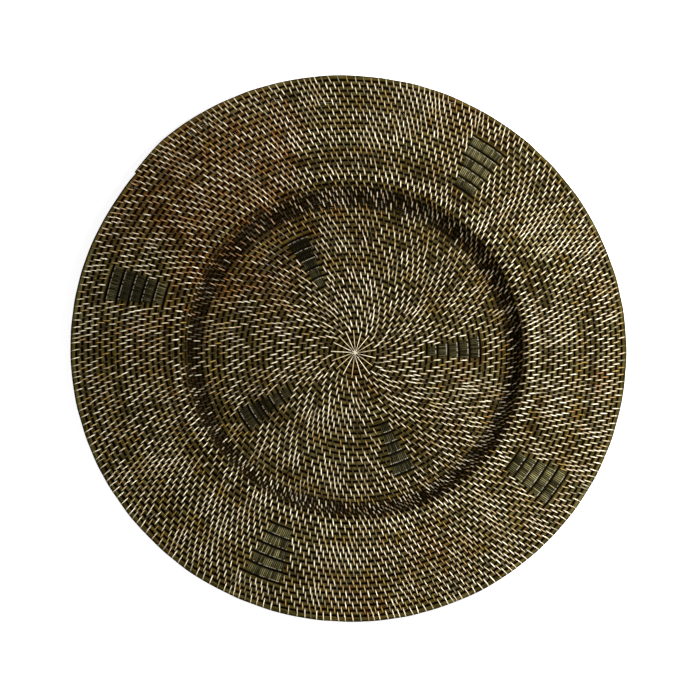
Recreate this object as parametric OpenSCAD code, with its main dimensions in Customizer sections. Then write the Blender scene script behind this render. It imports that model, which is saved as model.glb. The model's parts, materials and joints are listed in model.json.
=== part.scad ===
// Coiled rattan charger plate: one round cane wound in a flat spiral from the middle to the edge,
// rising once at the wall between the well and the rim, and sewn row to row with split cane.

/* [Plate] */
// Diameter of the plate over its last row
plate_d = 330; // [290:1:380]
// Diameter of the well at the lip of the wall
lip_d = 207; // [190:1:225]
// Height of the rim over the floor of the well
step_h = 12; // [9:0.5:15]
// Steepest slope of the wall in degrees
wall_slope = 60; // [50:1:70]
// Radius of the curve at the foot of the wall
foot_r = 12; // [9:0.5:14]
// Radius of the curve at the lip of the wall
lip_r = 4; // [3:0.5:6]
// How far the rows wander off the middle by the edge
drift = 5.5; // [0:0.5:5.5]
// Direction in degrees that the rows wander to
drift_dir = 143; // [120:1:165]

/* [Cane] */
// Diameter of the round core cane
core_d = 2.5; // [2.3:0.05:2.5]
// Distance from row to row that the coil is wound at
row_step = 3.25; // [3.25:0.05:3.4]
// Radius of the first row
start_r = 1.9; // [1.8:0.05:2.4]
// Depth of the worn flat that the plate rests on
foot_flat = 0.5; // [0.3:0.05:0.6]
// Direction in degrees in which the last row ends
tail_dir = 141; // [130:1:150]
// Length of the slanted cut that thins the last row out
tail_cut = 26; // [15:1:40]
// Gap left at each splice between two canes
splice_gap = 0.1; // [0.05:0.05:0.3]

/* [Strip] */
// Width of the split strip that sews the rows
strip_w = 1; // [0.8:0.05:1.1]
// Thickness of the split strip
strip_t = 0.2; // [0.15:0.01:0.21]
// Room between a strip and the cane under it
strip_gap = 0.06; // [0.06:0.005:0.07]
// Distance between two stitches along a row
stitch_step = 3.95; // [3.4:0.05:5]
// Lean of a stitch in degrees off the radius
stitch_lean = 12; // [0:1:14]

/* [Start] */
// Rows that the long rays in the middle bind
ray_rows = 4; // [4:1:6]
// Number of long rays
rays = 17; // [12:1:18]
// Radius of the knot in the middle
knot_r = 3; // [2.9:0.1:3.6]
// Height of the knot over the rays
knot_h = 0.8; // [0.5:0.1:1.2]
// Width of a long ray
ray_w = 0.7; // [0.5:0.05:0.75]

/* [Motifs] */
// Wound bars in each motif
bars = 5; // [3:1:5]
// Distance between two close wraps in a bar
wrap_step = 1.04; // [1.02:0.01:1.2]
// Width of the close-wound strip
wrap_w = 0.96; // [0.8:0.01:1]
// Directions in degrees of the four motifs on the rim
rim_dir_1 = 55; // [48:1:62]
// Second motif on the rim
rim_dir_2 = 165; // [158:1:172]
// Third motif on the rim
rim_dir_3 = 249; // [242:1:256]
// Fourth motif on the rim
rim_dir_4 = 324; // [317:1:331]
// Directions in degrees of the four motifs in the well
well_dir_1 = 1; // [0:1:8]
// Second motif in the well
well_dir_2 = 115; // [108:1:122]
// Third motif in the well
well_dir_3 = 211; // [204:1:218]
// Fourth motif in the well
well_dir_4 = 291; // [284:1:298]
// Wraps in the innermost bar of a motif on the rim
rim_wraps_in = 12; // [8:1:16]
// Wraps in the outermost bar of a motif on the rim
rim_wraps_out = 20; // [14:1:24]
// Wraps in the innermost bar of a motif in the well
well_wraps_in = 5; // [3:1:8]
// Wraps in the outermost bar of a motif in the well
well_wraps_out = 12; // [8:1:14]

/* [Hidden] */
$fn = 32;

core_r = core_d / 2;
// Height of the centre line of a row on the floor
floor_z = core_r - foot_flat;
// One overrun serves every cut
over = 2 * core_d;
// What the slanted cut leaves of the last row at its end
tail_left_share = 0.6;
// How far the extra wraps of a wider bar lie clockwise of the narrower one
skew_share = 0.3;
// The swelling where two arcs of a cane meet
swell_t = core_d / 50;
swell_share = 0.4;

// The profile that the rows follow, as lengths along it from the middle outwards
turn = wall_slope * PI / 180;
bend_h = (foot_r + lip_r) * (1 - cos(wall_slope));
slant = (step_h - bend_h) / sin(wall_slope);
wall_run = (foot_r + lip_r) * sin(wall_slope) + slant * cos(wall_slope);
floor_r = lip_d / 2 - wall_run;
s_foot = floor_r;
s_slant = s_foot + foot_r * turn;
s_lip = s_slant + slant;
s_rim = s_lip + lip_r * turn;
s_edge = s_rim + plate_d / 2 - core_r - lip_d / 2;

function foot_at(a) = [floor_r + foot_r * sin(a), foot_r * (1 - cos(a))];
function lip_at(a) = [lip_d / 2 - lip_r * sin(a), step_h - lip_r * (1 - cos(a))];
function along(s) =
    s < s_foot ? [s, 0]
    : s < s_slant ? foot_at((s - s_foot) / foot_r * 180 / PI)
    : s < s_lip ? foot_at(wall_slope)
        + (s - s_slant) * [cos(wall_slope), sin(wall_slope)]
    : s < s_rim ? lip_at((s_rim - s) / lip_r * 180 / PI)
    : [lip_d / 2 + s - s_rim, step_h];

// Turns of the coil: whole ones, and the part of a turn that brings the end to its direction
tail_turn = (tail_dir - drift_dir + 180) / 360;
turns = floor((s_edge - start_r) / row_step) + tail_turn;
pitch = (s_edge - start_r) / turns;

// A row crosses the line that it wanders along twice a turn, and half a turn is one arc between.
// The rows wander more and more towards the edge, and hardly in the well.
// The crossings lie on a fine grid, so that each arc ends exactly where the next one starts.
grid = core_d / 1250;
function on_grid(p) = [round(p[0] / grid) * grid, 0, round(p[1] / grid) * grid];
function wander(n) = drift * (n / turns) * (n / turns);
function near_end(n) = let (p = along(start_r + pitch * n)) on_grid([p[0] - wander(n), p[1]]);
function far_end(n) = let (p = along(start_r + pitch * n)) on_grid([-p[0] - wander(n), p[1]]);
function from(i) = i % 2 == 0 ? near_end(i / 2) : far_end(i / 2);
function to(i) = i % 2 == 0 ? far_end((i + 1) / 2) : near_end((i + 1) / 2);
function arc_mid(i) = (from(i) + to(i)) / 2;
function arc_r(i) = norm(to(i) - from(i)) / 2;
function arc_tilt(i) = asin((to(i)[2] - from(i)[2]) / (2 * arc_r(i)));
function side(i) = i % 2 == 0 ? 1 : -1;
function on_arc(i, t) =
    arc_mid(i) + (from(i) - arc_mid(i)) * cos(t) + [0, arc_r(i) * side(i) * sin(t), 0];

// A place on row k, counted from the middle, in the direction a
function swing(a) = (a - drift_dir + 180 + 720) % 360;
function half(k, a) = 2 * k + (swing(a) < 180 ? 0 : 1);
function row_at(k, a) = on_arc(half(k, a), swing(a) % 180);

// The box round the last turn, which sets the origin in the middle of the plate
function spin(p, a) = [p[0] * cos(a) - p[1] * sin(a), p[0] * sin(a) + p[1] * cos(a)];
last_half = floor(2 * turns);
tail_angle = (2 * turns - last_half) * 180;
rim_points = concat(
    [for (i = [last_half - 2, last_half - 1], t = [0:180]) spin(on_arc(i, t), drift_dir - 180)],
    [for (t = [0:tail_angle]) spin(on_arc(last_half, t), drift_dir - 180)]);
box_x = [for (p = rim_points) p[0]];
box_y = [for (p = rim_points) p[1]];
star = -[max(box_x) + min(box_x), max(box_y) + min(box_y)] / 2;

// The least gap between a row and the next, over the whole coil
row_gap = min([for (i = [0:last_half - 3], t = [0:30:150]) norm(on_arc(i + 2, t) - on_arc(i, t))])
    - core_d;
echo(turns = turns, pitch = pitch, least_row_gap = row_gap, star = star);

// Whole rows where one cane is spliced to the next. A row is worn until it has risen by the flat.
s_clear = s_foot + foot_r * acos(1 - foot_flat / foot_r) * PI / 180;
floor_rows = ceil((s_clear - start_r) / pitch);
wall_rows = ceil((s_rim - start_r) / pitch) - floor_rows;
rim_rows = floor(turns) - floor_rows - wall_rows;
well_splice_shares = [0, 0.5, 0.77, 1];
rim_splice_shares = [0, 0.24, 0.46, 0.66, 0.85, 1];
function well_splice(j) = round(floor_rows * well_splice_shares[j]);
function rim_splice(j) = floor_rows + wall_rows + round(rim_rows * rim_splice_shares[j]);

// Turns after which the coil comes to the first motif on the rim and in the well. The other
// three follow within one turn.
rim_motif_share = 0.19;
well_motif_share = 0.466;
rim_motif_turn = floor_rows + wall_rows + rim_rows * rim_motif_share;
well_motif_turn = floor_rows * well_motif_share;

module placed() {
    translate([star[0], star[1], floor_z]) rotate(drift_dir - 180) children();
}

// Everything under the surface that the plate rests on, in the plane of a section
module ground_section() {
    translate([-plate_d, -floor_z - plate_d]) square([2 * plate_d, plate_d]);
}

// The round section of the cane, with its worn flat on the floor of the well
module cane_section(r, worn) {
    difference() {
        circle(r);
        if (worn) ground_section();
    }
}

// Half a turn of cane, or the part of it between two angles
module half_turn(i, worn = false, a0 = 0, a1 = 180) {
    translate(arc_mid(i)) rotate([0, side(i) * arc_tilt(i), i % 2 == 0 ? 0 : 180])
        rotate([0, 0, a0])
            rotate_extrude(angle = a1 - a0, $fn = 72)
                translate([arc_r(i), 0]) cane_section(core_r, worn);
}

// The slight swelling of a cane where half a turn meets the one before it
module knuckle(i, worn) {
    translate(from(i)) rotate([90, 0, 0])
        linear_extrude(core_r * swell_share, center = true)
            cane_section(core_r + swell_t, worn);
}

// The cane from the start of row k0 to the start of row k1, with the gap of a splice before it
module cane(k0, k1, worn = false) {
    trim = k0 == 0 ? 0 : splice_gap / arc_r(2 * k0) * 180 / PI;
    half_turn(2 * k0, worn, trim);
    for (i = [2 * k0 + 1:2 * k1 - 1]) {
        half_turn(i, worn);
        knuckle(i, worn);
    }
}

module well_cane(j) {
    placed() cane(well_splice(j), well_splice(j + 1), worn = true);
}

module wall_cane() {
    color("#3f3822") placed() cane(floor_rows, floor_rows + wall_rows);
}

module rim_cane(j) {
    placed() cane(rim_splice(j), rim_splice(j + 1));
}

// The last cane runs on to the end of the coil, where a slanted cut thins it out
module last_cane() {
    start = on_arc(last_half, tail_angle - tail_cut / arc_r(last_half) * 180 / PI);
    end = on_arc(last_half, tail_angle);
    mid = arc_mid(last_half);
    p0 = mid + (start - mid) * (1 + core_r / arc_r(last_half));
    p1 = mid + (end - mid) * (1 - core_r * tail_left_share / arc_r(last_half));
    placed() difference() {
        union() {
            cane(rim_splice(4), floor(turns));
            for (i = [2 * floor(turns):last_half]) {
                half_turn(i, false, 0, i == last_half ? tail_angle : 180);
                knuckle(i, false);
            }
        }
        translate(p0) rotate(atan2(p1[1] - p0[1], p1[0] - p0[0]))
            translate([0, -2 * core_d, -core_d]) cube([tail_cut + over, 2 * core_d, 2 * core_d]);
    }
}

// The line of a strip round two rows that lie d apart, r from their middles
module strip_line(r, d) {
    circle(r);
    translate([d, 0]) circle(r);
    translate([0, -r]) square([d, 2 * r]);
}

module strip_section(d, on_floor) {
    difference() {
        strip_line(core_r + strip_gap + strip_t, d);
        strip_line(core_r + strip_gap, d);
        if (on_floor) ground_section();
    }
}

// A strip round rows k and k + 1 in the direction a, leaning off the radius
module wrap(k, a, w, lean = 0, on_floor = false) {
    p = row_at(k, a);
    q = row_at(k + 1, a);
    d = norm(q - p) / cos(lean) + w * tan(lean) + 2 * core_r * (1 / cos(lean) - 1);
    translate((p + q) / 2)
        rotate([0, -asin((q[2] - p[2]) / norm(q - p)), atan2(q[1] - p[1], q[0] - p[0])])
            rotate(lean) translate([-d / 2, 0, 0]) rotate([90, 0, 0])
                linear_extrude(w, center = true) strip_section(d, on_floor);
}

// A ring of n stitches round rows k and k + 1
module stitches(k, n, turned = 0, on_floor = false) {
    placed() for (j = [0:n - 1])
        wrap(k, drift_dir + (j + turned) * 360 / n, strip_w, stitch_lean, on_floor);
}

function stitches_on(k) = round(2 * PI * norm(row_at(k, drift_dir)) / stitch_step);

// Bars of close wraps, each round two rows, that widen from the inside outwards. The first bar is
// on the first row in the direction dir after that many turns.
module motif(n_turns, dir, wraps_in, wraps_out, on_floor) {
    k = ceil(n_turns - swing(dir) / 360);
    placed() for (b = [0:bars - 1]) {
        row = k + 2 * b;
        step = wrap_step / norm(row_at(row, dir)) * 180 / PI;
        n = round(wraps_in + (wraps_out - wraps_in) * b / (bars - 1));
        first = dir - step * (wraps_in / 2 + (n - wraps_in) * skew_share);
        for (j = [0:n - 1]) {
            a = first + (j + 1 / 2) * step;
            wrap(row + floor((swing(dir) + a - dir) / 360), a, wrap_w, 0, on_floor);
        }
    }
}

module rim_motif(dir) {
    motif(rim_motif_turn, dir, rim_wraps_in, rim_wraps_out, false);
}

module well_motif(dir) {
    motif(well_motif_turn, dir, well_wraps_in, well_wraps_out, true);
}

// The knot that starts the coil: a low dome on the rays, and a stem through the first row
module start_knot() {
    base = core_r + 2 * strip_gap + strip_t;
    dome_r = (knot_r * knot_r + knot_h * knot_h) / (2 * knot_h);
    color("#b79a63") placed() {
        intersection() {
            translate([0, 0, base + knot_h - dome_r]) sphere(dome_r, $fn = 96);
            translate([0, 0, base]) cylinder(r = knot_r + over, h = knot_h + over);
        }
        translate([0, 0, -floor_z])
            cylinder(r = start_r - core_r - strip_gap, h = floor_z + base);
    }
}

// One long ray: from under the knot over the first rows, and down behind the last of them
module ray(a) {
    p = row_at(ray_rows - 1, a);
    d = norm(p);
    first = rays * (ray_w + strip_gap) / (2 * PI);
    rotate(atan2(p[1], p[0])) rotate([90, 0, 0])
        linear_extrude(ray_w, center = true) difference() {
            strip_section(d, true);
            translate([-over, -over]) square([over + first, 2 * over]);
        }
}

module centre_rays() {
    color("#b79a63") placed() for (j = [0:rays - 1]) ray(drift_dir + j * 360 / rays);
}

module start_stitching() {
    color("#b79a63") stitches(ray_rows, 2 * rays, 1 / 2, true);
}

module foot_stitching() {
    k = floor((s_foot - start_r) / pitch) - 2;
    color("#b79a63") stitches(k, stitches_on(k), 0, true);
}

module lip_stitching() {
    k = floor_rows + wall_rows;
    color("#b79a63") stitches(k, stitches_on(k));
}

// The stitches that bind the last two rows, from the end of the coil back to it
module edge_stitching() {
    n = stitches_on(floor(turns) - 1);
    tail = (tail_angle + (last_half % 2) * 180) - tail_cut / arc_r(last_half) * 180 / PI;
    color("#b79a63") placed() for (j = [0:n - 1]) {
        turned = j * 360 / n;
        k = turned < tail ? floor(turns) - 1 : floor(turns) - 2;
        wrap(k, drift_dir + 180 + turned, strip_w, stitch_lean);
    }
}

module well_cane_1() { color("#3f3822") well_cane(0); }
module well_cane_2() { color("#3f3822") well_cane(1); }
module well_cane_3() { color("#3f3822") well_cane(2); }
module rim_cane_1() { color("#3f3822") rim_cane(0); }
module rim_cane_2() { color("#3f3822") rim_cane(1); }
module rim_cane_3() { color("#3f3822") rim_cane(2); }
module rim_cane_4() { color("#3f3822") rim_cane(3); }
module rim_cane_5() { color("#3f3822") last_cane(); }
module rim_motif_1() { color("#4d4a36") rim_motif(rim_dir_1); }
module rim_motif_2() { color("#4d4a36") rim_motif(rim_dir_2); }
module rim_motif_3() { color("#4d4a36") rim_motif(rim_dir_3); }
module rim_motif_4() { color("#4d4a36") rim_motif(rim_dir_4); }
module well_motif_1() { color("#4d4a36") well_motif(well_dir_1); }
module well_motif_2() { color("#4d4a36") well_motif(well_dir_2); }
module well_motif_3() { color("#4d4a36") well_motif(well_dir_3); }
module well_motif_4() { color("#4d4a36") well_motif(well_dir_4); }

start_knot();
centre_rays();
well_cane_1();
well_cane_2();
well_cane_3();
wall_cane();
rim_cane_1();
rim_cane_2();
rim_cane_3();
rim_cane_4();
rim_cane_5();
start_stitching();
foot_stitching();
lip_stitching();
edge_stitching();
rim_motif_1();
rim_motif_2();
rim_motif_3();
rim_motif_4();
well_motif_1();
well_motif_2();
well_motif_3();
well_motif_4();
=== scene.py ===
"""Coiled rattan charger plate: round core cane in one spiral, sewn row to row with split cane."""

import sys
import json
import logging
import math
from dataclasses import dataclass, field, replace
from enum import Enum
from typing import Any, Iterable, Sequence

import bpy
import numpy as np
from mathutils import Matrix, Vector

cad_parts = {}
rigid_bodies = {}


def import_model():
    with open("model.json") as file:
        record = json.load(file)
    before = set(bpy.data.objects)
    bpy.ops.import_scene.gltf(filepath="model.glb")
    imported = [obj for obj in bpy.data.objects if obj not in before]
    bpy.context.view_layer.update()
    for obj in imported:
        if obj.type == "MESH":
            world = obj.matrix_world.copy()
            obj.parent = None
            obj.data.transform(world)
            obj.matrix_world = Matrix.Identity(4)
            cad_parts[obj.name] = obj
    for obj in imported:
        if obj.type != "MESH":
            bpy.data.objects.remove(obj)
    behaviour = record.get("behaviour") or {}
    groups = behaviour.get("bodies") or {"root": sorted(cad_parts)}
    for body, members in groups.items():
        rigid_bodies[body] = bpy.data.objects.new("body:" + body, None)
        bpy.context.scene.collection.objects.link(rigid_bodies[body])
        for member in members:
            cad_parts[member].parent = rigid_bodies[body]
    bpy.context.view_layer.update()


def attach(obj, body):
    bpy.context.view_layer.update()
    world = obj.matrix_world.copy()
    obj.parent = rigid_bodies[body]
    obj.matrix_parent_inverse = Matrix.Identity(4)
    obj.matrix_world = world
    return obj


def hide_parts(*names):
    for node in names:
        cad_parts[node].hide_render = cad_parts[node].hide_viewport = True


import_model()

log = logging.getLogger("charger_plate")

MM = 0.001
HALF_TURN, FULL_TURN = 180.0, 360.0
TINY = 1e-6
ROUNDING_ERROR = 1e-9
VECTOR = "FLOAT_VECTOR"
RELIEF_STRENGTH = 0.8
WHITE = (1.0, 1.0, 1.0, 1.0)

Socket = bpy.types.NodeSocket
Value = Socket | float
Pair = tuple[float, float]
Triple = tuple[float, float, float]
Colour = Triple
UNIT: Pair = (0.0, 1.0)


class Slot(Enum):
    """The record's material slots."""

    CORE = "core_cane"
    PALE = "pale_strip"
    DARK = "dark_strip"


@dataclass
class HandWork:
    """Smooth seeded unevenness along the cane, made of waves of many lengths in millimetres."""

    seed: int
    size: float
    shortest: float
    longest: float
    waves: int = 14
    weakest_share: float = 0.5
    gain: float = 1.3

    def __post_init__(self) -> None:
        """Draws the waves."""
        rng, count = np.random.default_rng(self.seed), self.waves
        self.lengths = rng.uniform(self.shortest, self.longest, count)
        self.phases = rng.uniform(0.0, 2 * math.pi, count)
        shares = rng.uniform(self.weakest_share, 1.0, count)
        self.sizes = shares * self.size * math.sqrt(2.0 / count) * self.gain

    def at(self, run: np.ndarray) -> np.ndarray:
        """Gives the unevenness at lengths of cane.

        Args:
            run: Lengths along the cane, in millimetres.

        Returns:
            One value for each length.
        """
        waves = np.sin(2 * math.pi * run[:, None] / self.lengths + self.phases)
        return waves @ self.sizes


@dataclass
class Coil:
    """The spiral that the core cane follows, in millimetres and degrees.

    The drift is how far the coil wanders off its first centre. The tail is the end of the cane,
    thinned out to a share of its thickness. Turns count from the start of the coil.
    """

    plate_d: float = 330.0
    lip_d: float = 207.0
    step_h: float = 12.0
    wall_slope: float = 60.0
    foot_r: float = 12.0
    lip_r: float = 4.0
    drift: float = 5.5
    drift_dir: float = 143.0
    core_d: float = 2.5
    row_step: float = 3.25
    start_r: float = 1.9
    foot_flat: float = 0.5
    tail_dir: float = 141.0
    tail_cut: float = 26.0
    tail_thin: float = 0.36
    calm_turns: float = 6.0
    floor_calm: float = 0.15
    rim_steps: int = 720
    line_steps: int = 40000
    sideways: HandWork = field(default_factory=lambda: HandWork(11, 0.06, 14.0, 95.0))
    upways: HandWork = field(default_factory=lambda: HandWork(12, 0.07, 18.0, 120.0))

    def __post_init__(self) -> None:
        """Works out what follows from the sizes."""
        self.core_r = self.core_d / 2
        self.floor_z = self.core_r - self.foot_flat
        slope = math.radians(self.wall_slope)
        bends = (self.foot_r + self.lip_r) * (1 - math.cos(slope))
        slant = (self.step_h - bends) / math.sin(slope)
        run = (self.foot_r + self.lip_r) * math.sin(slope) + slant * math.cos(slope)
        self.floor_r = self.lip_d / 2 - run
        self.wall_r = (self.floor_r + self.lip_d / 2) / 2
        self.s_foot = self.floor_r
        self.s_slant = self.s_foot + self.foot_r * slope
        self.s_lip = self.s_slant + slant
        self.s_rim = self.s_lip + self.lip_r * slope
        self.s_edge = self.s_rim + self.plate_d / 2 - self.core_r - self.lip_d / 2
        tail_turn = (self.tail_dir - self.drift_dir + HALF_TURN) / FULL_TURN
        self.turns = math.floor((self.s_edge - self.start_r) / self.row_step) + tail_turn
        self.pitch = (self.s_edge - self.start_r) / self.turns
        # The start of the coil, where the rays meet, lies so that the outline is centred
        self.star = np.zeros(2)
        rim = self._plain(np.arange(self.turns - 1, self.turns, 1 / self.rim_steps))
        self.star = -(rim.max(axis=0) + rim.min(axis=0))[:2] / 2
        self._steps = np.linspace(0.0, self.turns, self.line_steps + 1)
        parts = np.linalg.norm(np.diff(self._plain(self._steps), axis=0), axis=1)
        self._runs = np.concatenate([[0.0], np.cumsum(parts)])

    def profile(self, s: np.ndarray) -> np.ndarray:
        """Follows the section of the plate from the middle outwards.

        Args:
            s: Lengths along the section.

        Returns:
            Radius and height for each length, as two columns.
        """
        slope = math.radians(self.wall_slope)
        foot = np.clip((s - self.s_foot) / self.foot_r, 0.0, slope)
        slant = np.clip(s - self.s_slant, 0.0, self.s_lip - self.s_slant)
        lip = np.clip((self.s_rim - s) / self.lip_r, 0.0, slope)
        flat = np.minimum(s, self.s_foot) + np.maximum(s - self.s_rim, 0.0)
        r = flat + self.foot_r * np.sin(foot) + slant * math.cos(slope)
        r = r + self.lip_r * (math.sin(slope) - np.sin(lip))
        z = self.foot_r * (1 - np.cos(foot)) + slant * math.sin(slope)
        z = z + self.lip_r * (np.cos(lip) - math.cos(slope))
        return np.stack([r, z], axis=1)

    def _crossing(self, i: np.ndarray) -> np.ndarray:
        """Gives where the coil crosses the line that it wanders along.

        Args:
            i: Half turns made, as whole numbers.

        Returns:
            Points in millimetres, turned so that the line lies along x.
        """
        rz = self.profile(self.start_r + self.pitch * i / 2)
        side = np.where(i % 2 == 0, 1.0, -1.0)
        x = side * rz[:, 0] - self.drift * (i / 2 / self.turns) ** 2
        return np.stack([x, np.zeros(len(i)), rz[:, 1]], axis=1)

    def _plain(self, n: np.ndarray) -> np.ndarray:
        """Gives the even line of the coil, made of half circles.

        Args:
            n: Turns.

        Returns:
            Points in millimetres in the plate's frame.
        """
        i = np.floor(2 * n + ROUNDING_ERROR)
        t = (2 * n - i) * math.pi
        start, end = self._crossing(i), self._crossing(i + 1)
        mid = (start + end) / 2
        r = np.linalg.norm(end - start, axis=1) / 2
        side = np.where(i % 2 == 0, 1.0, -1.0)
        p = mid + (start - mid) * np.cos(t)[:, None]
        p[:, 1] += r * side * np.sin(t)
        a = math.radians(self.drift_dir - HALF_TURN)
        x = p[:, 0] * math.cos(a) - p[:, 1] * math.sin(a) + self.star[0]
        y = p[:, 0] * math.sin(a) + p[:, 1] * math.cos(a) + self.star[1]
        return np.stack([x, y, p[:, 2] + self.floor_z], axis=1)

    def reach(self, turn: float) -> float:
        """Gives the level distance from the middle to the coil at one turn."""
        return float(np.linalg.norm(self._plain(np.array([turn]))[0, :2] - self.star))

    def run(self, n: np.ndarray) -> np.ndarray:
        """Gives the length of cane from the start to turns n."""
        return np.interp(n, self._steps, self._runs)

    def slimness(self, n: np.ndarray) -> np.ndarray:
        """Gives the thickness of the cane at turns n as a share of the full one."""
        left = np.clip((self._runs[-1] - self.run(n)) / self.tail_cut, 0.0, 1.0)
        return self.tail_thin + (1 - self.tail_thin) * left

    def turns_of(self, length: float | np.ndarray, n: float | np.ndarray) -> Any:
        """Gives how many turns a length of cane takes up at turns n."""
        return length / (2 * math.pi * (self.start_r + self.pitch * n))

    def outward(self, n: np.ndarray) -> np.ndarray:
        """Gives the level direction away from the middle.

        Args:
            n: Turns.

        Returns:
            Unit vectors, one for each of the turns.
        """
        p = self._plain(n)[:, :2] - self.star
        out = p / np.maximum(np.linalg.norm(p, axis=1), TINY)[:, None]
        return np.concatenate([out, np.zeros((len(n), 1))], axis=1)

    def line(self, n: np.ndarray) -> np.ndarray:
        """Gives the middle of the real, slightly uneven row.

        Args:
            n: Turns.

        Returns:
            Points in millimetres in the plate's frame.
        """
        run = self.run(n)
        calm = np.clip(n / self.calm_turns, 0.0, 1.0)
        step = self.sideways.at(run) * calm
        p = self._plain(n) + self.outward(n) * step[:, None]
        freedom = np.clip(p[:, 2] / self.step_h, self.floor_calm, 1.0)
        p[:, 2] += self.upways.at(run) * calm * freedom
        return p

    def room(self, n: np.ndarray) -> tuple[np.ndarray, np.ndarray]:
        """Gives the distances from a row to its neighbours.

        Args:
            n: Turns.

        Returns:
            The distances to the inner and to the outer neighbour.
        """
        here = self.line(n)
        before = np.linalg.norm(here - self.line(np.maximum(n - 1, 0.0)), axis=1)
        after = np.linalg.norm(self.line(np.minimum(n + 1, self.turns)) - here, axis=1)
        return np.where(n < 1, after, before), np.where(n > self.turns - 1, before, after)

    def upward(self, n: np.ndarray) -> np.ndarray:
        """Gives the direction off the woven face, upwards, at turns n."""
        return face_normal(self.across(n))[1]

    def across(self, n: np.ndarray) -> np.ndarray:
        """Gives the direction across the rows, outwards.

        Args:
            n: Turns.

        Returns:
            Unit vectors, one for each of the turns.
        """
        inner = np.where(n < 1, n, n - 1)
        outer = np.where(n > self.turns - 1, n, n + 1)
        ahead = self.line(outer) - self.line(inner)
        return ahead / np.maximum(np.linalg.norm(ahead, axis=1), TINY)[:, None]

    def next_pass(self, after: float, direction: float) -> float:
        """Gives the turns at which the coil next passes a direction.

        Args:
            after: Turns already made.
            direction: The direction seen from the middle, in degrees.

        Returns:
            Turns counted from the start of the coil.
        """
        share = ((direction - self.drift_dir + HALF_TURN) % FULL_TURN) / FULL_TURN
        return math.ceil(after - share) + share


def face_normal(ahead: np.ndarray) -> tuple[np.ndarray, np.ndarray]:
    """Gives the level direction along the rows, and the one off the woven face.

    Args:
        ahead: Vectors from a row to the next one outwards.

    Returns:
        Both as unit vectors, one row for each vector.
    """
    ahead = ahead / np.maximum(np.linalg.norm(ahead, axis=1), TINY)[:, None]
    level = np.stack([-ahead[:, 1], ahead[:, 0], np.zeros(len(ahead))], axis=1)
    level /= np.maximum(np.linalg.norm(level, axis=1), TINY)[:, None]
    return level, np.cross(ahead, level)


class NodeWork:
    """A node tree of any kind, with short ways to add the nodes that come up most."""

    def __init__(self, group: bpy.types.NodeTree) -> None:
        """Takes a tree in hand."""
        self.group = group

    def add(self, kind: str, inputs: dict[str | int, Any], **options: Any) -> bpy.types.Node:
        """Adds a node.

        Args:
            kind: The node's type name.
            inputs: A socket to link, or a value to set, for each input.
            **options: The node's own settings, set before the inputs.

        Returns:
            The new node.
        """
        node = self.group.nodes.new(kind)
        for key, value in options.items():
            setattr(node, key, value)
        for key, value in inputs.items():
            self.feed(node.inputs[key], value)
        return node

    def feed(self, socket: Socket, value: Any) -> None:
        """Links another socket to an input, or sets its value.

        Args:
            socket: The input.
            value: The other socket, or the value.
        """
        if isinstance(value, bpy.types.NodeSocket):
            self.group.links.new(value, socket)
        else:
            socket.default_value = value

    def maths(self, operation: str, first: Value, second: Value | None = None) -> Socket:
        """Reckons with one or two numbers and gives the result."""
        inputs = {0: first} if second is None else {0: first, 1: second}
        return self.add("ShaderNodeMath", inputs, operation=operation).outputs[0]

    def times(self, first: Value, second: Value) -> Socket:
        """Multiplies two numbers."""
        return self.maths("MULTIPLY", first, second)

    def vector_node(self, operation: str, first: Any, second: Any) -> bpy.types.Node:
        """Reckons with vectors.

        Args:
            operation: What is done.
            first: Socket or vector.
            second: Socket or vector, the scale where a vector is scaled, or None.

        Returns:
            The node.
        """
        key = "Scale" if operation == "SCALE" else 1
        inputs = {0: first} if second is None else {0: first, key: second}
        return self.add("ShaderNodeVectorMath", inputs, operation=operation)

    def measure(self, operation: str, first: Any, second: Any = None) -> Socket:
        """Gives the number that one or two vectors result in."""
        return self.vector_node(operation, first, second).outputs["Value"]

    def vectors(self, operation: str, first: Any, second: Any = None) -> Socket:
        """Gives the vector that one or two vectors result in."""
        return self.vector_node(operation, first, second).outputs["Vector"]

    def vector(self, **axes: Value) -> Socket:
        """Makes a vector of the numbers that are given for X, Y and Z."""
        return self.add("ShaderNodeCombineXYZ", axes).outputs[0]

    def axes(self, vector: Socket) -> Any:
        """Gives a vector's X, Y and Z."""
        return self.add("ShaderNodeSeparateXYZ", {0: vector}).outputs

    def ranged(self, value: Socket, source: Pair, target: Pair = UNIT) -> Socket:
        """Maps a value from one range to another, and holds it inside that."""
        ends = {"From Min": source[0], "From Max": source[1], "To Min": target[0], "To Max": target[1]}
        return self.add("ShaderNodeMapRange", {"Value": value, **ends}).outputs[0]


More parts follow.
